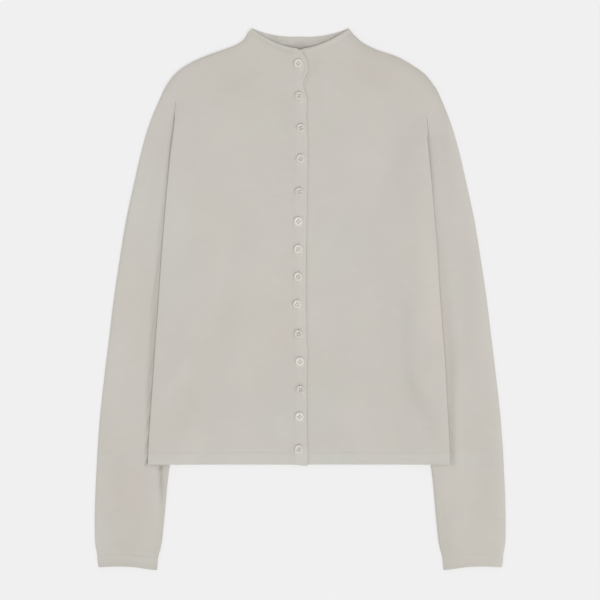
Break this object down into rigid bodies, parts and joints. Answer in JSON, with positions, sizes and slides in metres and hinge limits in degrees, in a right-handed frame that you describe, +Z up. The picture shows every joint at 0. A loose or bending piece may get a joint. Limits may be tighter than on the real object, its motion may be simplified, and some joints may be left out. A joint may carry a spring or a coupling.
{
  "type": "button cardigan",
  "caption": "Fine-knit long-sleeved cardigan with a short funnel neck and a full row of small buttons, laid flat on its back with the sleeves down beside the body.",
  "frame": {"origin": "centre of the bounding box, on the surface that the cardigan lies on", "axes": "+Z up from the surface through the cloth's thickness, +Y along the garment from cuffs to neck, +X towards the wearer's left sleeve"},
  "size_m": [0.542, 0.7147, 0.0085],
  "materials": {
    "knit": "matte fine jersey knit, warm grey off-white",
    "band_knit": "matte close knit of the bands and edges, warm grey off-white",
    "pearl": "polished pearl, soft gloss"
  },
  "bodies": {
    "root": {"back": "knit", "right_front": "knit", "left_front": "knit", "right_sleeve": "knit", "left_sleeve": "knit", "right_front_band": "band_knit", "left_front_band": "band_knit", "neck_band_right": "band_knit", "neck_band_left": "band_knit", "neck_band_back": "band_knit", "hem_right": "band_knit", "hem_left": "band_knit", "hem_back": "band_knit", "cuff_right": "band_knit", "cuff_left": "band_knit", "button_01": "pearl", "button_02": "pearl", "button_03": "pearl", "button_04": "pearl", "button_05": "pearl", "button_06": "pearl", "button_07": "pearl", "button_08": "pearl", "button_09": "pearl", "button_10": "pearl", "button_11": "pearl", "button_12": "pearl", "button_13": "pearl", "button_14": "pearl"}
  },
  "joints": []
}
